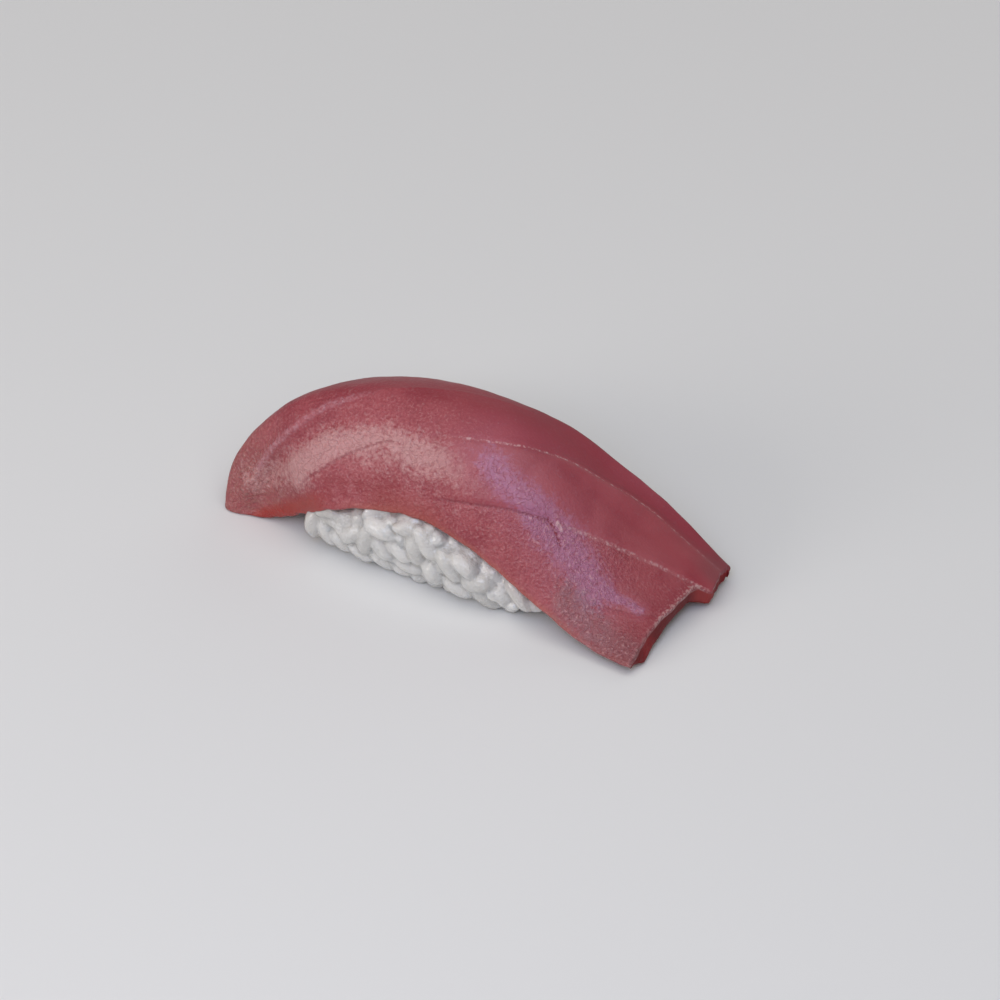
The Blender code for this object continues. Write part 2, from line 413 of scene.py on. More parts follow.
def ledge_grains(side, offset, inset, drop):
    """A row of grains squeezed out under one long edge of the slice: their middles and lies."""
    rim = rim_under(side)
    stops = np.arange(heap_low.x + LEDGE_START + offset, heap_high.x, LEDGE_STEP)
    edge = np.stack([stops] + [np.interp(stops, rim[:, 0], rim[:, axis]) for axis in (1, 2)], 1)
    middles = edge - (0, side * inset, drop)
    middles[:, 2] -= LEFT_LEDGE_DROP * ((-stops / MM - LEFT_LEDGE[0]) / LEFT_LEDGE[1]).clip(0, 1)
    lies = unit(np.gradient(edge, axis=0)) + dice.normal(0, LEDGE_SPREAD, edge.shape)
    hanging = dice.random(len(edge)) < LEDGE_HANGING_SHARE
    lies[hanging] = (0.3, 0.1 * side, -1.0)
    lies[hanging] += dice.normal(0, LEDGE_HANGING_SPREAD, (hanging.sum(), 3))
    kept = [heap.find_nearest(Vector(middle))[3] < LEDGE_GAP for middle in middles]
    return middles[kept], unit(lies[kept])


def tuck_under(side, middles, lies, lengths):
    """Lowers the grains along one long edge of the slice until none stands up past its rim."""
    rim = rim_under(side)
    tips = middles[:, None] + (lies * lengths[:, None])[:, None] * np.array((-1, 1))[None, :, None]
    rim_y, rim_z, rim_z_left = (np.interp(tips[..., 0] - past, rim[:, 0], rim[:, axis])
                                for axis, past in ((1, 0), (2, 0), (2, GRAIN_HALF_WIDTH)))
    rim_z = np.minimum(rim_z, rim_z_left)
    outside = side * (tips[..., 1] - rim_y) > -LEDGE_OUTSIDE
    over = np.where(outside, tips[..., 2] + LEDGE_TUCK - rim_z, 0)
    middles[:, 2] -= over.max(1).clip(0, LEDGE_LOWERING)


def outer_skin(mesh):
    """Removes everything but the mesh's largest connected part."""
    bm = bmesh.new()
    bm.from_mesh(mesh)
    unseen, parts = set(bm.verts), []
    while unseen:
        waiting = [unseen.pop()]
        parts.append([])
        while waiting:
            here = waiting.pop()
            parts[-1].append(here)
            around = {edge.other_vert(here) for edge in here.link_edges} & unseen
            unseen -= around
            waiting += around
    parts.sort(key=len)
    bmesh.ops.delete(bm, geom=sum(parts[:-1], []), context="VERTS")
    bm.to_mesh(mesh)
    bm.free()


def creases_of(mesh):
    """0 on the grains' swells and 1 deep between them, for each point."""
    count = len(mesh.vertices)
    places, outward = np.empty(count * 3), np.empty(count * 3)
    mesh.vertices.foreach_get("co", places)
    mesh.vertices.foreach_get("normal", outward)
    places, outward = places.reshape(-1, 3), outward.reshape(-1, 3)
    ends = np.empty(len(mesh.edges) * 2, int)
    mesh.edges.foreach_get("vertices", ends)
    a, b = ends[0::2], ends[1::2]
    neighbours = np.maximum(np.bincount(ends, minlength=count), 1)[:, None]
    flat = places
    for _ in range(CREASE_ROUNDS):
        total = np.zeros_like(flat)
        np.add.at(total, a, flat[b])
        np.add.at(total, b, flat[a])
        flat = (flat + total / neighbours) / 2
    return (((flat - places) * outward).sum(1) / CREASE_DEPTH).clip(0, 1)


def stick_together(grains, points, tones, reaches):
    """Joins the grains with soft starchy fillets, and gives each point its nearest grain's tone."""
    starch = grains.modifiers.new("starch", "REMESH")
    starch.mode, starch.voxel_size = "VOXEL", STARCH_CELL
    soft = grains.modifiers.new("soft", "SMOOTH")
    soft.factor, soft.iterations = 0.5, STARCH_ROUNDS
    bpy.context.view_layer.update()
    stuck = bpy.data.meshes.new_from_object(
        grains.evaluated_get(bpy.context.evaluated_depsgraph_get()))
    grains.modifiers.clear()
    outer_skin(stuck)
    stuck.name = "rice_grains"
    stuck.shade_smooth()
    grains.data = stuck
    nearest = KDTree(len(points))
    for index, point in enumerate(points):
        nearest.insert(point, index)
    nearest.balance()
    owners = [nearest.find(vert.co)[1] for vert in stuck.vertices]
    mark(grains, "tone", tones[owners])
    mark(grains, "reach", reaches[owners])
    mark(grains, "crease", creases_of(stuck))
    slice_skin = surface_of(slice_node)
    gaps = np.array([slice_skin.find_nearest(vert.co)[3] for vert in stuck.vertices])
    mark(grains, "by_slice", np.exp(-gaps / SLICE_REFLECTION_REACH))


def make_grains(material):
    """All the grains as one mesh, each with its own size, bend and tone."""
    seeds, outward = heap_seeds(GRAINS)
    open_side = (np.abs(outward[:, 2]) < OPEN_SLOPE) | (np.abs(seeds[:, 1]) > OPEN_FROM)
    seeds, outward = seeds[open_side], outward[open_side]
    depths = np.where(dice.random(len(seeds)) < INNER_GRAIN_SHARE, INNER_GRAIN_DEPTH, 0)
    lies = grain_lie(seeds, outward)
    ledges = [ledge_grains(side, *row) for side in (-1, 1) for row in LEDGE_ROWS]
    count = len(seeds) + sum(len(ledge[0]) for ledge in ledges)
    lengths = GRAIN_HALF_LENGTH * dice.uniform(*GRAIN_LENGTHS, count)
    widths = GRAIN_HALF_WIDTH * dice.uniform(*GRAIN_WIDTHS, count)
    loose = slice(0, len(seeds))
    middles, lies = settle(seeds - outward * (widths[loose] + depths)[:, None], lies, widths[loose],
                           lengths[loose], depths)
    middles = np.concatenate([middles] + [ledge[0] for ledge in ledges])
    lies = np.concatenate([lies] + [ledge[1] for ledge in ledges])
    for side in (-1, 1):
        tuck_under(side, middles, lies, lengths)
    points, faces = grain_shape()
    places, rows, tones, reaches = [], [], [], []
    for number, (middle, lie) in enumerate(zip(middles, lies)):
        _, skin, _, _ = heap.find_nearest(Vector(middle))
        side = unit(np.cross(lie, np.array(skin)))
        spin = dice.uniform(-GRAIN_SPIN, GRAIN_SPIN)
        up = np.cross(side, lie)
        turned_side = side * math.cos(spin) + up * math.sin(spin)
        turned_up = up * math.cos(spin) - side * math.sin(spin)
        bend = dice.uniform(*GRAIN_BENDS)
        shape = points * (lengths[number], widths[number], GRAIN_HALF_DEPTH)
        if dice.random() < 0.5:
            shape = shape * (-1, -1, 1)
        lump = np.array([noise.noise(Vector(point * GRAIN_LUMP_COUNT) + Vector((number * 3.7, 0, 0)))
                         for point in points])
        shape = shape * (1 + GRAIN_LUMP * lump[:, None] * (0.4, 1, 1))
        shape[:, 2] -= bend * widths[number] * (points[:, 0] ** 2 * 2 - 0.7)
        place = middle + shape @ np.stack([lie, turned_side, turned_up])
        place[:, 2] = np.maximum(place[:, 2], 0)
        rows += [tuple(index + len(places) * len(points) for index in face) for face in faces]
        places.append(place)
        tones.append(np.full(len(points), dice.random()))
        reaches.append(np.abs(points[:, 0]))
    filling = rice_core.data
    first = len(places) * len(points)
    places.append(np.array([vert.co + vert.normal * FILLING_RISE for vert in filling.vertices]))
    rows += [tuple(index + first for index in face.vertices) for face in filling.polygons]
    tones.append(np.full(len(filling.vertices), CORE_TONE))
    reaches.append(np.zeros(len(filling.vertices)))
    places = np.concatenate(places)
    grains = new_piece("rice_grains", mesh_of("rice_grains", places, rows), material)
    stick_together(grains, places, np.concatenate(tones), np.concatenate(reaches))
    return grains


rice_grains = make_grains(rice_white)
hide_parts("rice_block")
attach(rice_grains, "root")


# --------------------------------------------------------------- tuna slice
# One slice of lean red tuna, cut across the block with one pull of the knife and laid over the
# rice, so that one end hangs down to the plate. Thin pale sheets part the muscle into flakes.

RIBS = (  # share of length, then front edge, crest and back edge in millimetres
    (0.00, (-28.9, -7.7, 0.0), (-35.0, -6.3, 0.0), (-32.0, 11.2, 0.3)),
    (0.10, (-25.7, -8.1, 2.0), (-34.9, -5.3, 6.2), (-31.0, 11.7, 6.3)),
    (0.20, (-21.5, -9.1, 5.9), (-32.1, -4.3, 13.2), (-27.0, 11.9, 12.4)),
    (0.30, (-16.2, -11.5, 10.6), (-25.0, -2.8, 20.6), (-20.0, 11.9, 16.5)),
    (0.42, (-7.5, -10.7, 12.7), (-13.5, 0.2, 25.4), (-9.5, 11.7, 19.5)),
    (0.55, (2.0, -10.1, 12.8), (-0.5, 2.2, 26.9), (2.0, 11.5, 20.8)),
    (0.68, (12.0, -10.3, 9.0), (11.5, 3.7, 24.2), (13.0, 11.5, 19.7)),
    (0.80, (21.5, -11.5, 5.0), (22.5, 5.2, 16.2), (23.0, 12.2, 14.5)),
    (0.90, (29.8, -12.7, 2.0), (31.0, 6.2, 9.8), (31.5, 13.2, 8.6)),
    (1.00, (38.5, -13.7, 1.5), (38.7, 6.3, 4.2), (39.2, 14.2, 2.4)),
)
CREST_SHARE = 0.5  # of the width

# How the ribs bend and how thick the slice is, each as pairs of share of length and value.
BACK_SLOPE = ((0.0, 1.5), (0.15, 2.2), (0.3, 1.7), (0.45, 0.9), (0.6, 0.4), (0.8, 0.0), (1.0, 0.0))
FRONT_REACH = ((0.0, 2.6), (0.1, 1.4), (0.2, 0.3), (0.5, -0.5), (1.0, -2.0))  # millimetres
FRONT_SQUARENESS = ((0.0, 4.0), (0.1, 2.8), (0.2, 2.2), (0.5, 1.9), (0.8, 1.6), (1.0, 1.5))
BACK_REACH = 0.95  # of the way from the crest to the back edge, where the bend's corner lies
SLICE_THICKNESS = 6.2 * MM
THICKNESS_ALONG = ((0.0, 0.8), (0.2, 0.9), (0.45, 1.0), (0.7, 1.0), (0.9, 0.75), (1.0, 0.45))
EDGE_THICKNESS_SHARE = 0.55

# The grid that the slice's surface is made on.
COARSE_CELLS = (36, 16)  # along and across, for the way down to the underside
COARSE_ROUNDS = 12
FINE_CELLS = (340, 150)
EDGE_CROWDING = 0.55  # how much closer the fine rows lie at the edges
CREST_ROUNDS = 36
CREST_SOFTNESS = (0.3, 0.05)  # of the width, how near the crest its rounding starts and is full
CREST_SWELL, CREST_SWELL_ROUNDS = 0.28, 8  # what the rounding takes off is swollen up again
LEAST_STRETCH = 8 * MM  # keeps the measures across steady where the ribs are crowded
EDGE_RADIUS = 0.5 * MM
SIDE_ROWS = 8
TAIL_FLOOR = 0.15 * MM  # the thin end floats at least this high
LAY_WIDTH = 30 * MM  # the cut grain's own measure across the slice

# The torn right end, from the front edge to the back: share of width, millimetres past the plain
# end at the top and at the underside.
END_TOP = ((0.0, -1.0), (0.05, -0.9), (0.12, -1.0), (0.22, -1.4), (0.30, -1.2), (0.38, -0.8),
           (0.465, -0.4), (0.49, 0.0), (0.505, 1.5), (0.53, 1.9), (0.60, 1.5), (0.70, 0.9),
           (0.85, 0.4), (1.0, 0.1))
END_UNDER = ((0.0, -1.6), (0.05, -1.2), (0.10, -0.35), (0.15, -0.4), (0.25, -0.9), (0.36, -1.3),
             (0.44, -1.2), (0.48, 0.0), (0.52, 1.2), (0.60, 0.9), (0.70, 0.4), (0.85, 0.0), (1.0, -0.5))
END_RAMP = 5.0 * MM
PLUMB_RAMP = (4 * MM, 1 * MM)  # from the right end, where its cut face turns upright
END_RAGGED, END_RAGGED_COUNT = 0.25 * MM, 19

# How far the two long cut edges reach past the plain slice, in millimetres along its length.
FRONT_EDGE_REACH = ((0.0, 0.4), (0.1, 0.6), (0.2, 1.3), (0.3, 1.3), (0.42, 0.7), (0.55, 0.3),
                    (0.8, 0.1), (1.0, -0.3))
BACK_EDGE_REACH = ((0.0, 0.1), (0.5, 0.2), (0.65, 0.5), (1.0, 0.5))
EDGE_RAMP = 5.0 * MM
EDGE_WAVE, EDGE_WAVE_COUNT = 0.3, 31  # millimetres, and how fine the front edge's waves are
THIN_END = (0.55, 0.75)  # shares of the length between which the slice runs out into its thin end
FRONT_STEP, BACK_STEP = 0.32, 0.3  # millimetres up and down, of the flakes behind those sheets
BACK_SWELL = 0.8  # millimetres up, along the back edge of the thin end
SHOULDER_DIP = 0.42  # millimetres down, behind the bend over the rice's end
TAIL_UNDERCUT = 2.2 * MM  # how far the thin end's front edge slants under
TAIL_UNDERCUT_WIDTH = 6 * MM
LUMPS = ((0.25, 13), (0.08, 3.4), (0.02, 0.9))  # height and size of each, in millimetres

# Where the pale sheets meet the surface, and the middles of the zones of painted sheen and tint:
# share of the slice's length, share of its width.
CREST_SHEET = ((0.10, 0.17), (0.17, 0.20), (0.23, 0.24), (0.31, 0.30), (0.36, 0.36), (0.42, 0.43),
               (0.53, 0.58), (0.64, 0.71))
BACK_SHEET = ((0.54, 0.28), (0.64, 0.36), (0.71, 0.45), (0.77, 0.56), (0.84, 0.67), (0.93, 0.70),
              (1.0, 0.73))
FRONT_SHEET = ((0.50, 0.05), (0.56, 0.09), (0.63, 0.145), (0.70, 0.215), (0.77, 0.29),
               (0.84, 0.35), (0.92, 0.41), (1.0, 0.48))
TAIL_CREASE = ((0.88, 0.195), (0.93, 0.24), (0.99, 0.295))
TEAR = ((0.755, 0.28), (0.77, 0.27), (0.79, 0.25))
TEAR_FLAP = ((0.77, 0.29), (0.78, 0.285))
LEG_CREASE = ((0.27, 0.085), (0.33, 0.115), (0.37, 0.15), (0.41, 0.18), (0.47, 0.22))
LEG_VALLEY = ((0.05, 0.05), (0.12, 0.085), (0.17, 0.13), (0.23, 0.18), (0.30, 0.23), (0.37, 0.285))
SHEEN_COURSE = ((0.14, 0.17), (0.20, 0.14), (0.25, 0.125), (0.30, 0.15), (0.35, 0.185), (0.40, 0.20),
         (0.45, 0.215), (0.50, 0.205), (0.58, 0.21), (0.64, 0.20))
LILAC_UPPER = ((0.645, 0.28), (0.68, 0.265), (0.72, 0.27))
LILAC_LOWER = ((0.755, 0.262), (0.79, 0.262), (0.825, 0.25), (0.865, 0.225))
LILAC_STREAK = ((0.88, 0.24), (0.92, 0.26), (0.95, 0.27))
TAIL_SHEEN = ((0.84, 0.14), (0.92, 0.12), (1.0, 0.12))
DARK_SPOT = ((0.33, 0.055), (0.40, 0.065), (0.47, 0.08))


def curve_through(shares, values, at):
    """The smooth curve that takes the given values at the given shares, read at other shares."""
    shares = np.asarray(shares, float)
    values = np.asarray(values, float)
    slopes = np.gradient(values, shares, axis=0)
    left = np.clip(np.searchsorted(shares, at, side="right") - 1, 0, len(shares) - 2)
    span = shares[left + 1] - shares[left]
    part = (at - shares[left]) / span
    if values.ndim == 2:
        span, part = span[:, None], part[:, None]
    start_weight = 2 * part**3 - 3 * part**2 + 1
    return (start_weight * values[left] + (1 - start_weight) * values[left + 1]
            + (part**3 - 2 * part**2 + part) * span * slopes[left]
            + (part**3 - part**2) * span * slopes[left + 1])


def profile(pairs, along):
    """A number that varies along the slice, shaped to multiply a grid of points."""
    shares, values = zip(*pairs)
    return curve_through(shares, values, along)[:, None, None]


def rib_points(column, along):
    """One guide line of the slice, front edge, crest or back edge, in metres."""
    return curve_through([rib[0] for rib in RIBS], [rib[column] for rib in RIBS], along)[:, None] * MM


def quarter_arc(start, corner, end, turn, squareness):
    """Points of a quarter superellipse from start to end that bends inside the corner."""
    rising = np.sin(turn) ** (2 / squareness)
    falling = np.maximum(np.cos(turn), 0) ** (2 / squareness)
    return corner + (start - corner) * (1 - rising) + (end - corner) * (1 - falling)


def slice_top(along, across):
    """The slice's upper surface on a grid: shares of its length, and of its width from the front."""
    front, crest, back = (rib_points(column, along) for column in (1, 2, 3))
    drop = back - crest
    level = np.array((0.0, 1.0, 0.0)) + profile(BACK_SLOPE, along) * unit(drop)
    level = unit(level)
    front_reach = ((crest - front) * level).sum(-1, keepdims=True) + profile(FRONT_REACH, along) * MM
    back_reach = (drop * level).sum(-1, keepdims=True) * BACK_REACH
    front_turn = np.clip(across / CREST_SHARE, 0, 1)[None, :, None] * math.pi / 2
    back_turn = np.clip((across - CREST_SHARE) / (1 - CREST_SHARE), 0, 1)[None, :, None] * math.pi / 2
    front_half = quarter_arc(front, crest - level * front_reach, crest, front_turn,
                             profile(FRONT_SQUARENESS, along))
    back_half = quarter_arc(back, crest + level * back_reach, crest, math.pi / 2 - back_turn, 2)
    return np.where((across <= CREST_SHARE)[None, :, None], front_half, back_half)


def soft_normals(grid, rounds):
    """Outward directions over a grid of points, smoothed so that bends don't make them cross."""
    normals = unit(np.cross(np.gradient(grid, axis=0), np.gradient(grid, axis=1)))
    for _ in range(rounds):
        for axis in (0, 1):
            padding = [(1, 1) if i == axis else (0, 0) for i in range(3)]
            padded = np.pad(normals, padding, mode="edge")
            before = np.take(padded, range(0, grid.shape[axis]), axis)
            after = np.take(padded, range(2, grid.shape[axis] + 2), axis)
            normals = (before + 2 * normals + after) / 4
    return unit(normals)


def soft_step(values, low, high):
    """0 up to low and 1 from high, with a soft step between; low may be above high."""
    part = np.clip((values - low) / (high - low), 0, 1)
    return part * part * (3 - 2 * part)


def crowded_shares(cells):
    """Shares from 0 to 1 that lie closer together towards both ends."""
    even = np.linspace(0, 1, cells + 1)
    return even - EDGE_CROWDING * np.sin(2 * math.pi * even) / (2 * math.pi)


def read_grid(grid, along, across):
    """A coarse grid's values, read at finer shares."""
    rows, columns = (np.linspace(0, 1, count) for count in grid.shape[:2])
    part = np.apply_along_axis(lambda line: np.interp(along, rows, line), 0, grid)
    return np.apply_along_axis(lambda line: np.interp(across, columns, line), 1, part)


def uneven(places, size, seed):
    """Smooth noise from -1 to 1 at a grid of places, with lumps of the given size."""
    offset = Vector((seed * 17.3, seed * 5.1, 0))
    flat = places.reshape(-1, 3) / size
    values = [noise.noise(Vector(place) + offset) for place in flat]
    return np.array(values).reshape(places.shape[:2])


class Slice:
    """The fine grid of the slice's top, with the measures that its relief and colours use."""

    def __init__(self):
        self.along = crowded_shares(FINE_CELLS[0])
        self.across = crowded_shares(FINE_CELLS[1])
        self.plain = self.soft_crest(slice_top(self.along, self.across))
        coarse = slice_top(np.linspace(0, 1, COARSE_CELLS[0] + 1), np.linspace(0, 1, COARSE_CELLS[1] + 1))
        self.inward = -unit(read_grid(soft_normals(coarse, COARSE_ROUNDS), self.along, self.across))
        edge_closeness = np.abs(2 * self.across - 1) ** 3
        width_share = 1 - (1 - EDGE_THICKNESS_SHARE) * edge_closeness
        self.thickness = (SLICE_THICKNESS * profile(THICKNESS_ALONG, self.along)
                          * width_share[None, :, None])
        self.grid_along = np.broadcast_to(self.along[:, None], self.plain.shape[:2])
        self.grid_across = np.broadcast_to(self.across[None], self.plain.shape[:2])
        self.stretch_along = np.linalg.norm(np.gradient(self.plain, self.along, axis=0), axis=2)
        self.stretch_across = np.linalg.norm(np.gradient(self.plain, self.across, axis=1), axis=2)
        self.stretch_across = np.maximum(self.stretch_across, LEAST_STRETCH)
        self.length = self.run(self.plain, 0)
        self.width = self.run(self.plain, 1)
        self.from_end = self.length[-1:] - self.length
        self.from_back = self.width[:, -1:] - self.width
        self.outward = unit(np.gradient(self.plain, axis=1))

    def soft_crest(self, top):
        """Rounds the crest, where the front and back of each rib meet."""
        near = soft_step(np.abs(self.across - CREST_SHARE), *CREST_SOFTNESS)[None, 1:-1, None]
        crest = top.shape[1] // 2
        sharp = top[:, crest].copy()
        for _ in range(CREST_ROUNDS):
            mean = (top[:, :-2] + 2 * top[:, 1:-1] + top[:, 2:]) / 4
            top[:, 1:-1] += (mean - top[:, 1:-1]) * near
        lost = np.linalg.norm(sharp - top[:, crest], axis=1)[:, None, None]
        swell = soft_step(np.abs(self.across - CREST_SHARE), CREST_SWELL, 0)[None, :, None]
        return top + soft_normals(top, CREST_SWELL_ROUNDS) * lost * swell

    @staticmethod
    def run(places, axis):
        """How far each point lies along its row or column, in metres."""
        steps = np.linalg.norm(np.diff(places, axis=axis), axis=2)
        total = np.cumsum(steps, axis=axis)
        first = np.zeros_like(np.take(total, [0], axis))
        return np.concatenate([first, total], axis)

    def side_of(self, course):
        """Metres from a line across the slice, more than 0 behind it, at every point."""
        shares, values = zip(*course)
        inside = np.clip(self.along, shares[0], shares[-1])
        line = curve_through(shares, values, inside)
        slope = np.gradient(line, self.along)[:, None]
        steepness = np.sqrt(1 / self.stretch_across**2 + (slope / self.stretch_along) ** 2)
        return (self.grid_across - line[:, None]) / steepness

    def gap_to(self, course):
        """Metres from a line on the slice, its two ends included."""
        beyond = np.maximum(course[0][0] - self.grid_along, self.grid_along - course[-1][0]).clip(0)
        return np.hypot(self.side_of(course), beyond * self.stretch_along)

    def near(self, course, far, close):
        """1 up to the close distance from a line, and 0 from the far one, in millimetres."""
        return soft_step(self.gap_to(course), far * MM, close * MM)

    def past(self, low, high):
        """0 before a share of the length and 1 after another, or the reverse."""
        return soft_step(self.grid_along, low, high)

    def over(self, low, high):
        """The same for shares of the width, from the front."""
        return soft_step(self.grid_across, low, high)


def slice_relief(cut):
    """How high the surface stands over the plain slice, in metres."""
    behind_back = soft_step(cut.side_of(BACK_SHEET), -0.3 * MM, 1.4 * MM)
    behind_front = soft_step(cut.side_of(FRONT_SHEET), -0.2 * MM, 0.9 * MM)
    right = cut.past(*THIN_END)
    height = FRONT_STEP * behind_front * (1 - behind_back) * right
    height -= (BACK_STEP * behind_back * right * cut.over(0.95, 0.75)
               * (1 - 0.8 * cut.past(0.82, 0.95)))
    height += BACK_SWELL * right * cut.over(0.7, 0.92) * (1 - 0.8 * cut.past(0.86, 1.0))
    height -= SHOULDER_DIP * cut.past(0.10, 0.18) * cut.past(0.29, 0.21) * cut.over(0.33, 0.48)
    ridges = (  # course, millimetres up, half its width in millimetres, share along its way
        (FRONT_SHEET, -0.22, 0.32, (0.35 + 0.65 * cut.past(0.8, 0.7)) * cut.past(0.5, 0.62)),
        (BACK_SHEET, -0.2, 0.4, 1 - 0.7 * cut.past(0.8, 0.95)),
        (CREST_SHEET, 0.10, 0.6, 1),
        (CREST_SHEET[:5], 0.45, 1.2, 1),
        (TAIL_CREASE, -0.22, 0.35, 1),
        (LEG_CREASE, -0.10, 0.28, 1),
        (TEAR, -0.20, 0.35, 1),
        (TEAR_FLAP, 0.14, 0.5, 1),
        (LEG_VALLEY, -0.6, 1.4, 1),
    )
    for course, rise, width, share in ridges:
        height += rise * share * np.exp(-(cut.gap_to(course) / (width * MM)) ** 2)
    roughness = (1, 1, 1 - 0.7 * behind_front * right)
    for seed, ((rise, size), share) in enumerate(zip(LUMPS, roughness), 1):
        height += rise * share * uneven(cut.plain, size * MM, seed)
    return height * MM


def wave(shares, count, offset):
    """Noise from -1 to 1 along a line, finer with a higher count."""
    return np.array([noise.noise(Vector((share * count, *offset))) for share in shares])


def end_shift(cut, reach):
    """How far the torn right end pulls each point along the slice."""
    shares, values = zip(*reach)
    pull = np.interp(cut.across, shares, values) * MM
    pull = pull + END_RAGGED * wave(cut.across, END_RAGGED_COUNT, (values[0], 3.1))
    return unit(np.gradient(cut.plain, axis=0)) * (pull * soft_step(cut.from_end, END_RAMP, 0))[..., None]


def edge_shift(cut):
    """How far the two long cut edges are drawn outward."""
    wavy = EDGE_WAVE * wave(cut.along, EDGE_WAVE_COUNT, (4.7, 1.3))[:, None, None]
    front = (profile(FRONT_EDGE_REACH, cut.along) + wavy) * soft_step(cut.width, EDGE_RAMP, 0)[..., None]
    back = profile(BACK_EDGE_REACH, cut.along) * soft_step(cut.from_back, EDGE_RAMP, 0)[..., None]
    return cut.outward * (back - front) * MM


def rounded_drop(gap, radius):
    """How far a rounded edge has dropped, this far from the edge."""
    return radius - np.sqrt(radius**2 - np.clip(radius - gap, 0, radius) ** 2)


def rim_order(rows, columns):
    """Grid numbers once round the rim, seen from above: front, right end, back, left end."""
    front = [(i, 0) for i in range(rows)]
    right = [(rows - 1, j) for j in range(1, columns)]
    back = [(i, columns - 1) for i in range(rows - 2, -1, -1)]
    left = [(0, j) for j in range(columns - 2, 0, -1)]
    return front + right + back + left


def slice_faces(rows, columns, rim):
    """Rows of point numbers for the top, the cut sides and the underside, half as fine."""
    faces = [(i * columns + j, (i + 1) * columns + j, (i + 1) * columns + j + 1, i * columns + j + 1)
             for i in range(rows - 1) for j in range(columns - 1)]
    around = len(rim)
    upper = [i * columns + j for i, j in rim]
    for row in range(SIDE_ROWS):
        lower = [rows * columns + row * around + k for k in range(around)]
        faces += [(upper[k], lower[k], lower[(k + 1) % around], upper[(k + 1) % around])
                  for k in range(around)]
        upper = lower
    inner = rows * columns + SIDE_ROWS * around
    half_rows, half_columns = (rows + 1) // 2, (columns + 1) // 2
    lowest = dict(zip(rim, upper))

    def under_number(i, j):
        """The underside's point at a coarse row and column, on the rim or inside it."""
        return lowest.get((2 * i, 2 * j), inner + (i - 1) * (half_columns - 2) + j - 1)

    def with_between(a, b):
        """A point of the underside, with the rim's point before the next one if both are on it."""
        (i, j), (m, n) = a, b
        on_rim = (i == m and i in (0, half_rows - 1)) or (j == n and j in (0, half_columns - 1))
        return [under_number(i, j)] + ([lowest[i + m, j + n]] if on_rim else [])

    for i in range(half_rows - 1):
        for j in range(half_columns - 1):
            loop = [(i, j), (i, j + 1), (i + 1, j + 1), (i + 1, j)]
            faces.append(sum((with_between(loop[k], loop[(k + 1) % 4]) for k in range(4)), []))
    return faces


def make_slice(material):
    """The slice as one closed skin: a fine top, rounded cut sides and a coarser underside."""
    cut = Slice()
    height = slice_relief(cut)
    for gap, far_gap in ((cut.length, cut.from_end), (cut.width, cut.from_back)):
        height -= rounded_drop(np.minimum(gap, far_gap), EDGE_RADIUS)
    top = cut.plain + soft_normals(cut.plain, 3) * height[..., None]
    top = top + end_shift(cut, END_TOP) + edge_shift(cut)
    under = cut.plain + cut.inward * cut.thickness
    plumb = cut.plain + np.array((0, 0, -1.0)) * cut.thickness
    under = under + (plumb - under) * soft_step(cut.from_end, *PLUMB_RAMP)[..., None]
    under = under + end_shift(cut, END_UNDER) + edge_shift(cut)
    tail_rim = cut.past(*THIN_END) * soft_step(cut.width, TAIL_UNDERCUT_WIDTH, 0)
    under = under + cut.outward * (TAIL_UNDERCUT * tail_rim)[..., None]
    rows, columns = top.shape[:2]
    rim = rim_order(rows, columns)
    rim_index = tuple(np.array(rim).T)
    rim_top = top[rim_index]
    rim_under = under[rim_index]
    ahead = unit(np.roll(cut.plain[rim_index], -1, 0) - np.roll(cut.plain[rim_index], 1, 0))
    outward = unit(np.cross(ahead, -cut.inward[rim_index]))
    depth = np.linalg.norm(rim_under - rim_top, axis=1, keepdims=True)
    places = [top.reshape(-1, 3)]
    lie = np.stack([cut.length[:, columns // 2, None] + 0 * cut.width, LAY_WIDTH * cut.grid_across,
                    0 * cut.width], 2)
    lay = [lie.reshape(-1, 3) / MM]
    rim_lay = lie[rim_index][:, :2] / MM
    for row in range(1, SIDE_ROWS + 1):
        share = row / SIDE_ROWS
        inset = rounded_drop((1 - share) * depth, EDGE_RADIUS)
        places.append(rim_top + (rim_under - rim_top) * share - outward * inset)
        lay.append(np.concatenate([rim_lay, share * depth / MM], 1))
    places.append(under[2:-2:2, 2:-2:2].reshape(-1, 3))
    deep = (lie + cut.thickness * (0, 0, 1))[2:-2:2, 2:-2:2]
    lay.append(deep.reshape(-1, 3) / MM)
    faces = slice_faces(rows, columns, rim)
    points = np.concatenate(places)
    floor = np.where(points[:, 0] > 0, TAIL_FLOOR, 0.0)
    points[:, 2] = np.maximum(points[:, 2], floor)
    piece = new_piece("tuna_slice_flesh", mesh_of("tuna_slice_flesh", points, faces), material)
    mark(piece, "lay", np.concatenate(lay))
    mark(piece, "cut_side", np.arange(len(points)) >= rows * columns)
    return piece, cut, rim_index


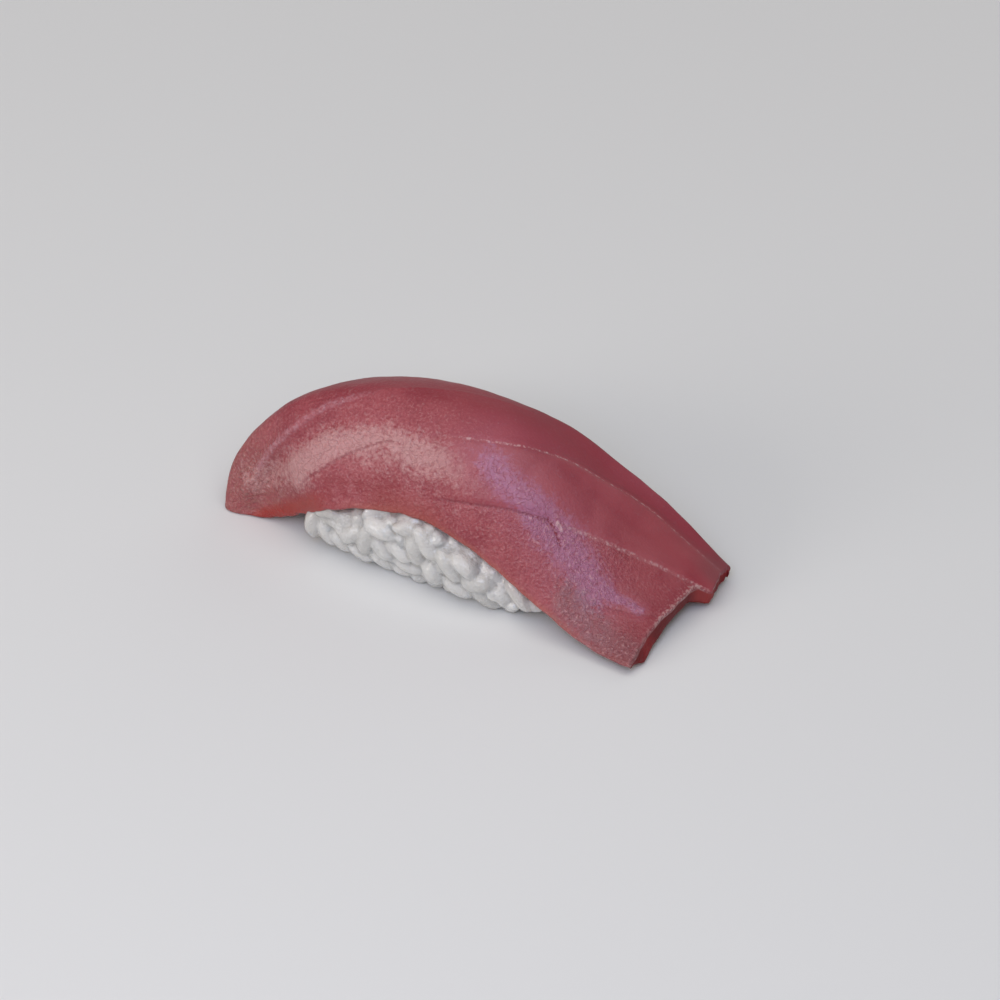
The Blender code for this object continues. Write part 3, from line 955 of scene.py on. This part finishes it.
def slice_marks(piece, cut, rim_index):
    """Writes the distances and zones that the flesh's colours are mixed from."""
    courses = {"crest_sheet": CREST_SHEET, "back_sheet": BACK_SHEET, "front_sheet": FRONT_SHEET,
               "tail_crease": TAIL_CREASE, "leg_crease": LEG_CREASE, "tear": TEAR,
               "tear_flap": TEAR_FLAP}
    zones = {name: cut.gap_to(course) / MM for name, course in courses.items()}
    before_crease = (soft_step(cut.side_of(LEG_CREASE), 0.8 * MM, -0.8 * MM)
                     * cut.past(0.29, 0.35) * cut.past(0.52, 0.45))
    # painted sheen: a pale zone along its course, weaker in places, with a fainter, wider fringe towards
    # the front
    painted_sheen = (cut.near(SHEEN_COURSE, 4.2, 0.6) * (1 - 0.3 * cut.past(0.34, 0.42))
             * (1 - 0.3 * cut.past(0.48, 0.62)) * (1 - 0.6 * before_crease)
             * (1 - 0.45 * cut.past(0.28, 0.2)))
    sheen_fringe = cut.near(SHEEN_COURSE, 8, 3) * cut.past(0.34, 0.42) * cut.past(0.66, 0.54) * cut.over(0.27, 0.2)
    zones |= {
        "behind_back": cut.side_of(BACK_SHEET) / MM,
        "behind_front": cut.side_of(FRONT_SHEET) / MM,
        "from_front": cut.width / MM,
        "from_end": cut.from_end / MM,
        "along": cut.grid_along,
        "across": cut.grid_across,
        "painted_sheen": painted_sheen + 0.34 * sheen_fringe,
        # painted lilac sheen, and a fainter painted halo round it
        "lilac_sheen": (0.85 * cut.near(LILAC_UPPER, 4.6, 0.2) + 0.95 * cut.near(LILAC_LOWER, 5.8, 0.4)
                  + 0.85 * cut.near(LILAC_STREAK, 1.2, 0.2)),
        "lilac_sheen_halo": np.maximum.reduce([cut.near(LILAC_UPPER, 9, 2), cut.near(LILAC_LOWER, 9, 2),
                                    cut.near(LILAC_STREAK, 2.5, 1)]),
        # painted greyish sheen on the thin end
        "tail_sheen": 0.85 * cut.near(TAIL_SHEEN, 5.4, 0.3),
        "dark_spot": cut.near(DARK_SPOT, 2.6, 0.6),
    }
    for name, grid in zones.items():
        values = [grid.ravel()] + [grid[rim_index]] * SIDE_ROWS + [grid[2:-2:2, 2:-2:2].ravel()]
        mark(piece, name, np.concatenate(values))


PALE = (0.60, 0.38, 0.38)  # the sheets of connective tissue
CREASE_SHADE = (0.19, 0.019, 0.034)  # painted shade at the bottom of a crease


def tuna_finish():
    """Raw lean tuna: moist, a muted wine red, with pale dashed sheets; painted light gives its fine
    sparkle, sheen and glow, and painted shade darkens its creases and cut sides.
    """
    material, shader, start = new_finish("tuna_flesh")
    lay = start.attribute("lay", "Vector")
    along, across, from_front, from_end, side, lilac_sheen_halo = (
        start.attribute(name) for name in ("along", "across", "from_front", "from_end", "cut_side",
                                           "lilac_sheen_halo"))
    behind_back = start.attribute("behind_back").rise(-0.3, 0.6)
    right = along.rise(0.5, 0.7)
    back_flake = behind_back * right
    smooth_flake = start.attribute("behind_front").rise(-0.5, 0.7) * right
    leg = along.rise(0.30, 0.12)
    open_top = 1 - side

    place = start.place()
    clouds = place.speckle(7.0, 3.0)
    mottle = place.speckle(1.6, 3.0, 0.6)
    skin = place.speckle(0.40, 2.0, 0.6)
    crepe = place.speckle(0.62, 3.0, 0.6)
    streaks = lay.stretched((0.4, 1, 1)).speckle(0.6)
    wrinkle = 1 - abs(place.speckle(1.0) - 0.5).rise(0.0, 0.045)
    dashes = place.speckle(0.55).rise(0.46, 0.6)
    wander = 0.5 * lay.speckle(0.8) - 0.25

    def broken(zone):
        """A painted sheen zone that is whole in its middle and breaks up into painted glints towards its
        edge.
        """
        return (start.attribute(zone) + 1.5 * (crepe - 0.5) + 0.8 * (mottle - 0.5)).rise(0.10, 0.95)

    def sheet(name, width, strength, dashed):
        """A line along a course, with gaps in it as far as it is dashed."""
        near = (start.attribute(name) + wander * 0.6).rise(width, width * 0.25)
        return near * strength * (dashes * dashed + (1 - dashed)) * open_top

    # the zones of painted sheen, with the hanging end
    sheen_zones = (start.attribute("painted_sheen") + start.attribute("lilac_sheen") + start.attribute("tail_sheen")
              + 0.35 * leg).rise(0.0, 1.0)
    grainy = ((1 - 0.85 * smooth_flake) * (1 - 0.6 * along.rise(0.2, 0.5) * across.rise(0.34, 0.5))
              * (1 - 0.7 * along.rise(0.86, 0.93) * across.rise(0.16, 0.26)))
    tips = (along.rise(0.84, 0.96) * across.rise(0.26, 0.12) * 0.5
            + from_end.rise(5.0, 1.0) * across.rise(0.52, 0.62) * 0.5)
    # painted glints: tiny pale specks, mostly in the painted sheen zones
    painted_glints = skin.rise(0.55, 0.68) * (0.3 * grainy + 0.7 * sheen_zones) * mottle.rise(0.34, 0.56)
    end_edge_highlight = from_end.rise(0.9, 0.4) * across.rise(0.54, 0.48) * (0.4 + 0.6 * across.rise(0.22, 0.3))
    end_edge_glints = (from_end.rise(3.0, 0.3) * across.rise(0.22, 0.34) * across.rise(0.52, 0.46)
                  * skin.rise(0.50, 0.70) * 0.55)
    # painted glow of light through the thin front edge over the rice
    glow_over_rice = from_front.rise(4.5, 1.0) * along.rise(0.38, 0.45) * along.rise(0.62, 0.54)
    lobe = across.rise(0.43, 0.49) * across.rise(0.62, 0.53) * along.rise(0.9, 0.97)
    # the cut sides: painted shade, a darker copy of the flesh with its own cloudy variation, a brighter
    # red lobe near the torn end, and painted glow of light through the hanging end's lower edge
    cut_shade_and_glow = start.blend((0.15, 0.003, 0.005), ((0.27, 0.010, 0.012), clouds.rise(0.42, 0.6)),
                          ((0.38, 0.055, 0.050), lobe * 0.7),
                          ((0.26, 0.018, 0.012), along.rise(0.5, 0.3)))
    colour = start.blend(
        (0.270, 0.042, 0.056), ((0.330, 0.066, 0.080), clouds.rise(0.35, 0.65)),
        # the flakes behind the back sheet, a deeper red that is partly their own colour and partly
        # painted shade where they turn from the light, and a painted red glow of light through the flesh
        # behind the crest
        ((0.285, 0.034, 0.052), back_flake * 0.8),
        ((0.36, 0.045, 0.062), across.rise(0.42, 0.55) * along.rise(0.25, 0.4) * (1 - back_flake) * 0.5),
        # light and dark flecks of the cut grain, and a darker place low on the front
        ((0.44, 0.150, 0.155), grainy * skin.rise(0.48, 0.66) * 0.28),
        ((0.205, 0.026, 0.036), grainy * skin.rise(0.48, 0.34) * 0.42),
        ((0.26, 0.034, 0.044), start.attribute("dark_spot") * (0.35 + 0.5 * mottle.rise(0.55, 0.42))),
        # the hanging end's pale brownish streaks, partly its own colour and partly painted sheen, and the
        # thin end's two tips
        ((0.38, 0.19, 0.155), leg * (0.10 + 0.34 * streaks.rise(0.40, 0.66))),
        ((0.22, 0.065, 0.058), leg * 0.25),
        ((0.19, 0.050, 0.058), tips),
        # painted light: a pale sheen, a lilac sheen, a greyish sheen and glints, and painted shade in the
        # wrinkles of the wet skin
        ((0.57, 0.32, 0.31), broken("painted_sheen") * grainy * 0.67),
        ((0.40, 0.11, 0.15), lilac_sheen_halo * 0.35),
        ((0.38, 0.165, 0.285), broken("lilac_sheen") * lilac_sheen_halo * 0.62),
        ((0.205, 0.115, 0.125), broken("tail_sheen") * (1 - 0.5 * along.rise(0.88, 0.97)) * 0.5),
        ((0.58, 0.31, 0.31), painted_glints * open_top * 0.44),
        # painted shade in the fine wrinkles within the sheen zones
        ((0.20, 0.030, 0.042), wrinkle * sheen_zones * open_top * 0.28),
        # pale sheets, and a painted highlight line and painted glints along the torn end's top edge
        (PALE, sheet("back_sheet", 0.24, 0.6, 0.95) * along.rise(0.52, 0.6) * along.rise(1.05, 0.82)),
        # the crest sheet's pale line: partly the sheet's own colour, partly a painted highlight where its
        # ridge catches the light
        ((0.50, 0.26, 0.30), sheet("crest_sheet", 0.8, 0.46, 0.7) * along.rise(0.45, 0.36)
         * along.rise(0.14, 0.2)),
        (PALE, sheet("front_sheet", 0.42, 0.5, 0.8) * along.rise(0.74, 0.82)),
        ((0.56, 0.33, 0.32), (end_edge_highlight * (0.3 + 0.7 * dashes) + end_edge_glints).rise(0, 1) * 0.7 * open_top),
        # painted shade in the creases and in the small tear
        (CREASE_SHADE, sheet("front_sheet", 0.3, 0.7, 0.2) * along.rise(0.8, 0.74) * along.rise(0.52, 0.6)),
        (CREASE_SHADE, sheet("tail_crease", 0.24, 0.5, 0.3)),
        (CREASE_SHADE, sheet("leg_crease", 0.3, 0.5, 0.3)),
        ((0.21, 0.014, 0.022), sheet("tear", 0.36, 0.85, 0.1)),
        (PALE, sheet("tear_flap", 0.5, 0.7, 0.3)),
        # painted glow of light through the thin front edge, over the rice and low on the hanging end, and
        # the cut sides in painted shade
        ((0.40, 0.12, 0.08), from_front.rise(1.6, 0.3) * open_top * along.rise(0.30, 0.42)
         * (1 - 0.7 * along.rise(0.82, 0.93)) * 0.45),
        ((0.285, 0.048, 0.040), glow_over_rice * 0.55),
        ((0.31, 0.024, 0.016), from_front.rise(3.3, 1.5) * along.rise(0.34, 0.26) * 0.9),
        (cut_shade_and_glow, side * 0.95))

    height = (skin * (0.1 + 0.6 * grainy) + 0.9 * crepe * grainy - 0.2 * wrinkle * sheen_zones
              + 0.7 * mottle * (0.3 + 0.7 * sheen_zones) + 0.6 * streaks * leg)
    start.feed(shader, {
        "Base Color": colour,
        "Roughness": 0.2 + 0.14 * clouds + 0.14 * smooth_flake + 0.2 * behind_back + 0.35 * side,
        "Normal": start.bump(0.22 * MM, height),
        "Subsurface Weight": 0.15, "Subsurface Radius": (1.0, 0.2, 0.15), "Subsurface Scale": 1 * MM,
        "IOR": 1.42})
    return material


tuna_slice, slice_measures, slice_rim = make_slice(tuna_finish())
slice_marks(tuna_slice, slice_measures, slice_rim)
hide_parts("tuna_slice")
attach(tuna_slice, "root")


# ------------------------------------------------------ floor, light, camera
# A plain pale table top under soft studio light: a warm lamp low on the left, a small cool one in
# front, a broad one overhead, a faint one behind, and a pale room. A long lens looks down.

FLOOR_SIZE = 3.0
FLOOR_GAP = 0.1 * MM  # between the floor and what stands on it
CAMERA_TARGET = Vector((6.1, 3.0, 10.0)) * MM
CAMERA_AZIMUTH = math.radians(30)
CAMERA_ELEVATION = math.radians(38)
CAMERA_DISTANCE = 2.7
CAMERA_LENS, CAMERA_SENSOR = 651.0, 36.0  # millimetres
CAMERA_CLIP = (0.05, 10.0)


def make_floor():
    material, shader, start = new_finish("pale_floor")
    start.feed(shader, {
        "Base Color": start.blend((0.72, 0.72, 0.71), ((0.76, 0.76, 0.75), start.place().speckle(400))),
        "Roughness": 0.7})
    half = FLOOR_SIZE / 2
    corners = [(-half, -half, 0), (half, -half, 0), (half, half, 0), (-half, half, 0)]
    floor = new_piece("floor", mesh_of("floor", corners, [(0, 1, 2, 3)]), material)
    floor.location.z = -FLOOR_GAP


def make_lamp(name, direction, distance, size, power, colour):
    """A square soft lamp that faces the nigiri from the given direction."""
    data = bpy.data.lights.new(name, "AREA")
    data.shape = "RECTANGLE"
    data.size, data.size_y = size
    data.energy = power
    data.color = colour
    lamp = bpy.data.objects.new(name, data)
    lamp.location = CAMERA_TARGET + Vector(direction).normalized() * distance
    lamp.rotation_mode = "QUATERNION"
    lamp.rotation_quaternion = Vector(direction).to_track_quat("Z", "Y")
    bpy.context.scene.collection.objects.link(lamp)


def make_camera():
    data = bpy.data.cameras.new("camera")
    data.lens, data.sensor_width = CAMERA_LENS, CAMERA_SENSOR
    data.clip_start, data.clip_end = CAMERA_CLIP
    camera = bpy.data.objects.new("camera", data)
    level = math.cos(CAMERA_ELEVATION)
    back = Vector((math.sin(CAMERA_AZIMUTH) * level, -math.cos(CAMERA_AZIMUTH) * level,
                   math.sin(CAMERA_ELEVATION)))
    camera.location = CAMERA_TARGET + back * CAMERA_DISTANCE
    camera.rotation_mode = "QUATERNION"
    camera.rotation_quaternion = (-back).to_track_quat("-Z", "Y")
    bpy.context.scene.collection.objects.link(camera)
    bpy.context.scene.camera = camera


make_floor()
make_lamp("left_lamp", (-0.50, -0.78, 0.35), 0.7, (0.34, 0.28), 1.55, (1.0, 0.94, 0.90))
make_lamp("cool_lamp", (0.25, -0.64, 0.72), 0.8, (0.30, 0.30), 1.3, (0.50, 0.62, 1.0))
make_lamp("top_lamp", (0.10, -0.35, 0.93), 0.8, (1.20, 1.20), 6.0, (1.0, 0.97, 0.93))
make_lamp("back_lamp", (0.15, 0.85, 0.45), 0.9, (0.80, 0.80), 1.1, (1.0, 0.95, 0.92))
room = bpy.data.worlds.new("pale_room")
room.use_nodes = True
room.node_tree.nodes["Background"].inputs["Color"].default_value = (0.9, 0.92, 0.95, 1)
room.node_tree.nodes["Background"].inputs["Strength"].default_value = 0.13
bpy.context.scene.world = room
bpy.context.scene.view_settings.view_transform = "Standard"
make_camera()
